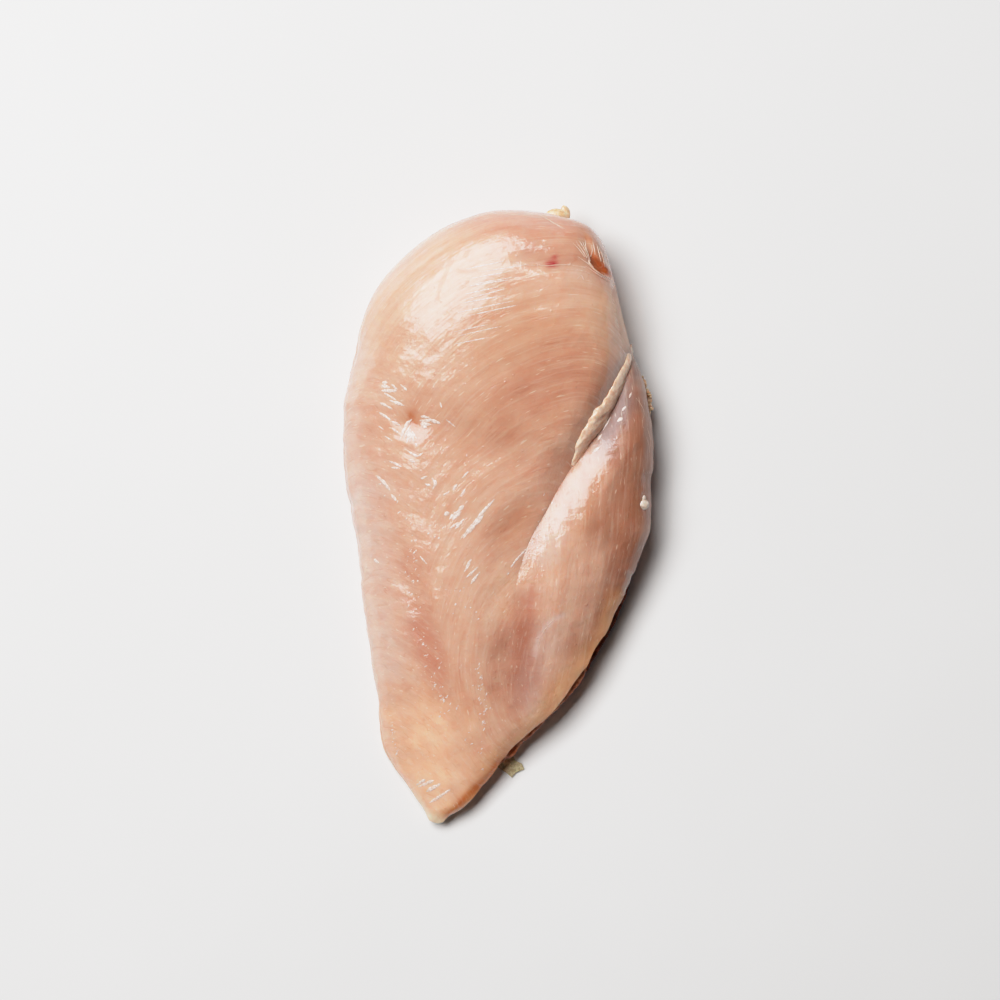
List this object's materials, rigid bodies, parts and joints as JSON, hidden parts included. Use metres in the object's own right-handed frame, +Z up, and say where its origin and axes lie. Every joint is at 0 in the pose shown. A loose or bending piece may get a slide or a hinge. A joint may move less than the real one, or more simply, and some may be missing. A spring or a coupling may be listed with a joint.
{
  "type": "raw boneless chicken breast",
  "caption": "Raw, boneless, skinless chicken breast lying smooth side up, with a thick rounded lobe, a folded side lobe along a crease and a thin tapered tip.",
  "frame": {"origin": "on the surface that the breast lies on, under the middle of its outline", "axes": "+Z up out of the smooth upper side, +Y from the thin tip towards the thick end, +X to the right, where the folded side lobe is"},
  "size_m": [0.0903, 0.1811, 0.0358],
  "materials": {
    "meat": "moist, glossy raw meat, pale peach-pink with fine grain",
    "fat": "soft, moist, creamy yellow fat",
    "membrane": "thin, wet, whitish membrane and cartilage"
  },
  "bodies": {
    "root": {"chicken_breast": "meat"}
  },
  "joints": []
}
